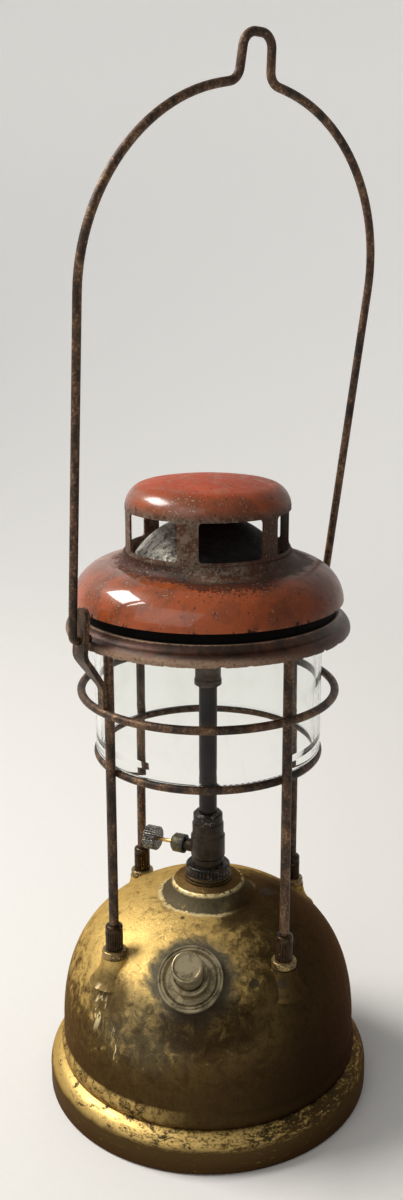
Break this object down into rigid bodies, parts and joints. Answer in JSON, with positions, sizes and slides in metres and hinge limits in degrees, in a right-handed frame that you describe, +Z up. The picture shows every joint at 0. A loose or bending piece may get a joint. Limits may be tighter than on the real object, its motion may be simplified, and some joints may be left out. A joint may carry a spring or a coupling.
{
  "type": "pressure lantern",
  "caption": "Pressure lantern: domed brass tank on a flared base, clear glass in a strut cage, orange vented hood, side control knob, pump in the filler cap, wire bail with a hook hump.",
  "frame": {"origin": "centre of the base's underside, on the lantern's upright axis", "axes": "+Z up; -Y towards the pump and filler cap; the bail pivots on the diagonal between front left and rear right"},
  "size_m": [0.1692, 0.1692, 0.5195],
  "materials": {
    "tank_brass": "aged brass with patina",
    "base_brass": "worn aged brass, dark at the side",
    "collar_brass": "worn brass",
    "ferrule_bronze": "dark knurled bronze",
    "frame_steel": "oxidised brown steel wire",
    "bail_steel": "oxidised pitted steel wire",
    "rim_metal": "dark brown worn metal",
    "clear_glass": "clear, heat-proof",
    "hood_enamel": "glossy orange-red enamel, sooty",
    "cap_enamel": "glossy orange-red enamel, sooty and chipped",
    "cowl_metal": "sooty light grey",
    "burner_metal": "heat-darkened steel",
    "skirt_metal": "sooty dark steel",
    "vaporiser_steel": "blued black steel",
    "union_black": "black pitted steel",
    "cock_bronze": "blackened bronze",
    "washer_grey": "dull grey",
    "boss_brass": "dull brass",
    "gland_bronze": "grey-green bronze",
    "spindle_brass": "bright brass",
    "knob_black": "black-grey knurled metal",
    "pump_bronze": "dull grey bronze",
    "inner_brass": "plain brass inside the tank",
    "seal_rubber": "black rubber and graphite packing",
    "pump_leather": "oiled leather",
    "rod_steel": "plain steel"
  },
  "bodies": {
    "frame": {"tank_shell": "tank_brass", "tank_bottom": "inner_brass", "base_skirt": "base_brass", "burner_boss": "boss_brass", "filler_boss": "boss_brass", "strut_collars": "collar_brass", "strut_ferrules": "ferrule_bronze", "strut_front_left": "frame_steel", "strut_front_right": "frame_steel", "strut_rear_left": "frame_steel", "strut_rear_right": "frame_steel", "lower_glass_ring": "frame_steel", "upper_guard_ring": "frame_steel", "top_rim": "rim_metal", "bail_bracket_left": "frame_steel", "bail_bracket_right": "frame_steel", "cock_washer": "washer_grey", "cock_flange_ring": "boss_brass", "cock_thin_washer": "washer_grey", "cock_locknut": "union_black", "cock_body": "cock_bronze", "gland_washer": "seal_rubber", "gland_packing": "seal_rubber", "gland_nut": "gland_bronze", "vaporiser_union": "union_black", "vaporiser_tube": "vaporiser_steel", "vaporiser_jet": "inner_brass", "suction_tube": "inner_brass", "suction_filter": "inner_brass"},
    "bail": {"bail": "bail_steel"},
    "hood": {"hood_bell": "hood_enamel", "chimney_wall": "cap_enamel", "chimney_cap": "cap_enamel", "inner_cowl": "cowl_metal", "mixing_chamber": "burner_metal", "burner_stem": "burner_metal", "stem_nut": "burner_metal", "air_tubes": "burner_metal", "burner_nozzle": "burner_metal", "hood_skirt": "skirt_metal"},
    "glass": {"glass": "clear_glass"},
    "control": {"control_spindle": "spindle_brass", "control_knob": "knob_black"},
    "pricker": {"pricker_rod": "rod_steel"},
    "pump_unit": {"filler_cap": "pump_bronze", "filler_seal": "seal_rubber", "pump_collar": "pump_bronze", "pump_barrel": "inner_brass", "pump_foot_valve": "inner_brass"},
    "plunger": {"pump_knob": "pump_bronze", "pump_rod": "rod_steel", "pump_leather": "pump_leather", "plunger_washer": "rod_steel", "plunger_nut": "rod_steel"}
  },
  "joints": [
    {"name": "bail_swing", "type": "hinge", "parent": "frame", "child": "bail", "pos_m": [0, 0, 0.256], "axis": [0.7071, 0.7071, 0], "range_deg": [-167.5, 152.5]},
    {"name": "hood_lift", "type": "slide", "parent": "frame", "child": "hood", "axis": [0, 0, 1], "range_m": [0, 0.15]},
    {"name": "glass_lift", "type": "slide", "parent": "frame", "child": "glass", "axis": [0, 0, 1], "range_m": [0, 0.075]},
    {"name": "control_turn", "type": "hinge", "parent": "frame", "child": "control", "pos_m": [0, 0, 0.1286], "axis": [-0.9537, 0.3007, 0], "range_deg": [0, 120]},
    {"name": "pricker_rise", "type": "slide", "parent": "frame", "child": "pricker", "axis": [0, 0, 1], "range_m": [0, 0.00225]},
    {"name": "pump_slide", "type": "slide", "parent": "frame", "child": "pump_unit", "axis": [0, -0.6691, 0.7431], "range_m": [0, 0.07]},
    {"name": "plunger_stroke", "type": "slide", "parent": "pump_unit", "child": "plunger", "axis": [0, -0.6691, 0.7431], "range_m": [0, 0.045]}
  ],
  "couplings": [
    {"joint": "glass_lift", "follows": "hood_lift", "ratio": 0.5},
    {"joint": "pricker_rise", "follows": "control_turn", "m_per_rad": 0.0010751}
  ]
}
